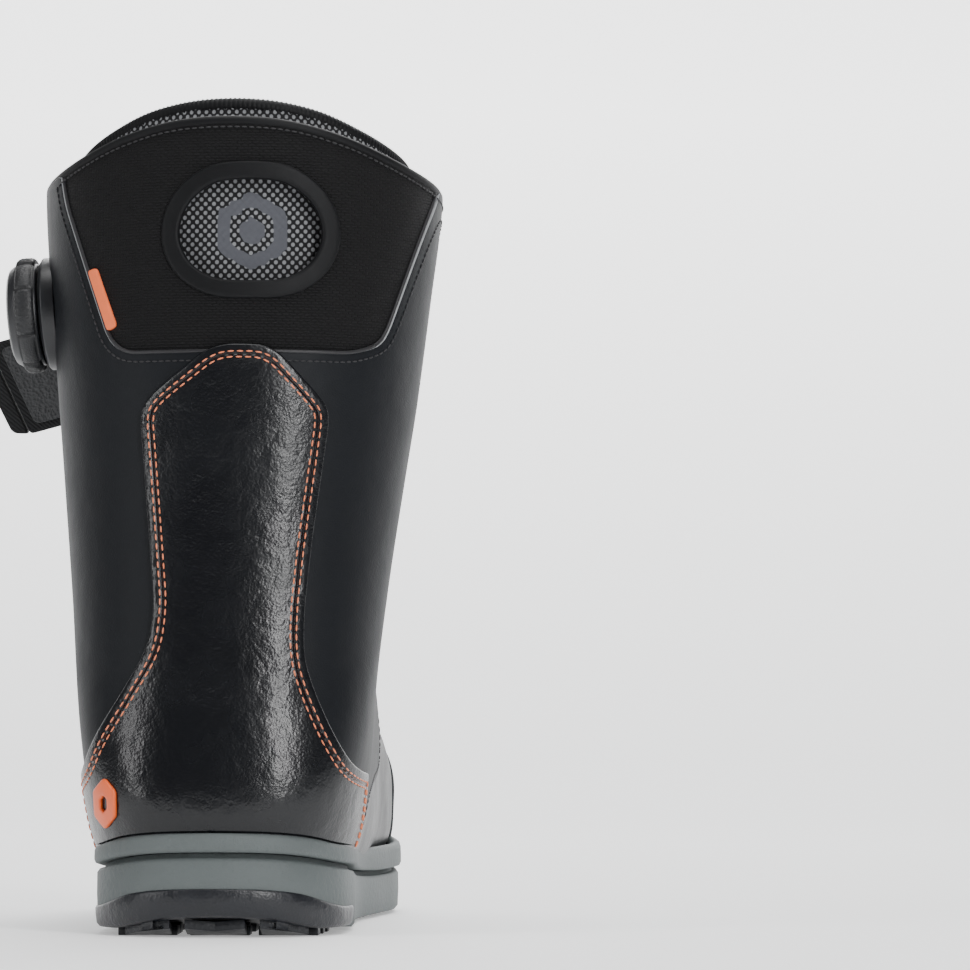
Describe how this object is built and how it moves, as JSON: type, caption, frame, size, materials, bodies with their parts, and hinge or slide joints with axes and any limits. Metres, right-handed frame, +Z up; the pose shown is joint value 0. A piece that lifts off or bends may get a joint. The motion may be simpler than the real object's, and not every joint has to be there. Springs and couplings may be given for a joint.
{
  "type": "snowboard boot",
  "caption": "Black left snowboard boot with a cable dial, lace guides, power strap, knitted heel collar with a window, and a grey midsole.",
  "frame": {"origin": "on the floor, on the tread under the middle of the sole's length, on the foot's centre line", "axes": "+Z up; +Y towards the toe; +X to the medial side of this left boot"},
  "size_m": [0.1897, 0.3, 0.2997],
  "materials": {
    "rubber_black": "satin moulded rubber",
    "midsole_grey": "matt foam with a fine wrinkled texture",
    "matte_black": "matt coated synthetic leather",
    "leather_black": "glossy creased leather",
    "mesh_black": "knitted mesh",
    "lining_black": "brushed lining",
    "foam_grey": "fabric-covered moulded foam",
    "webbing_black": "woven tape and webbing",
    "plastic_black": "moulded plastic",
    "orange_trim": "moulded orange trim",
    "steel": "bare steel",
    "board_tan": "fibre board"
  },
  "bodies": {
    "shell": {"heel_outsole": "rubber_black", "forefoot_outsole": "rubber_black", "midsole": "midsole_grey", "rand": "midsole_grey", "shank": "board_tan", "lasting_board": "board_tan", "lining_shell": "lining_black", "collar_mesh_panel": "mesh_black", "quarter_lateral": "matte_black", "quarter_medial": "matte_black", "vamp": "leather_black", "toe_cap": "rubber_black", "backstay": "leather_black", "upper_eyestay_lateral": "plastic_black", "lower_eyestay_lateral": "plastic_black", "upper_eyestay_medial": "plastic_black", "lower_eyestay_medial": "plastic_black", "heel_counter": "plastic_black", "toe_puff": "plastic_black", "collar_binding": "webbing_black", "window_binding": "webbing_black", "seam_tag": "orange_trim", "heel_badge": "orange_trim", "loop_patch": "webbing_black", "liner": "foam_grey", "liner_binding": "webbing_black", "footbed": "foam_grey", "dial_screw": "steel", "dial_lace": "steel", "dial_base": "plastic_black", "lace_sleeve": "webbing_black", "lace_guide_lateral_1": "plastic_black", "lace_guide_lateral_2": "plastic_black", "lace_guide_lateral_3": "plastic_black", "lace_guide_lateral_4": "plastic_black", "lace_guide_medial_1": "plastic_black", "lace_guide_medial_2": "plastic_black", "lace_guide_medial_3": "plastic_black", "lace_guide_medial_4": "plastic_black"},
    "drive_hub": {"dial_drive_hub": "plastic_black"},
    "knob": {"dial_knob": "plastic_black", "dial_ring": "steel", "dial_cap": "plastic_black", "dial_grip": "rubber_black"},
    "spool": {"dial_spool": "plastic_black"},
    "tongue": {"tongue": "matte_black", "tongue_pull_loop": "webbing_black", "power_strap": "webbing_black", "strap_anchor": "webbing_black"},
    "strap_end": {"strap_end": "webbing_black", "strap_hooks": "plastic_black", "strap_end_tab": "webbing_black"},
    "liner_tongue": {"liner_tongue": "foam_grey"}
  },
  "joints": [
    {"name": "knob_turn", "type": "hinge", "parent": "shell", "child": "drive_hub", "pos_m": [-0.0675, -0.06507, 0.22842], "axis": [-0.9966, 0.02, -0.08], "continuous": true},
    {"name": "knob_pull", "type": "slide", "parent": "drive_hub", "child": "knob", "axis": [-0.9966, 0.02, -0.08], "range_m": [0, 0.003]},
    {"name": "spool_turn", "type": "hinge", "parent": "shell", "child": "spool", "pos_m": [-0.0675, -0.06507, 0.22842], "axis": [-0.9966, 0.02, -0.08], "continuous": true},
    {"name": "tongue_tilt", "type": "hinge", "parent": "shell", "child": "tongue", "pos_m": [0, 0.0545, 0.0935], "axis": [-1, 0, 0], "range_deg": [0, 20], "deforming": ["dial_lace"]},
    {"name": "liner_tongue_tilt", "type": "hinge", "parent": "shell", "child": "liner_tongue", "pos_m": [0, 0.039, 0.092], "axis": [-1, 0, 0], "range_deg": [0, 16]},
    {"name": "strap_swing", "type": "hinge", "parent": "tongue", "child": "strap_end", "pos_m": [-0.03053, 0.0013, 0.22131], "axis": [-0.2421, 0, 0.9703], "range_deg": [-60, 8]}
  ],
  "couplings": [
    {"joint": "spool_turn", "follows": "knob_turn", "ratio": 1},
    {"joint": "liner_tongue_tilt", "follows": "tongue_tilt", "ratio": 0.8}
  ]
}
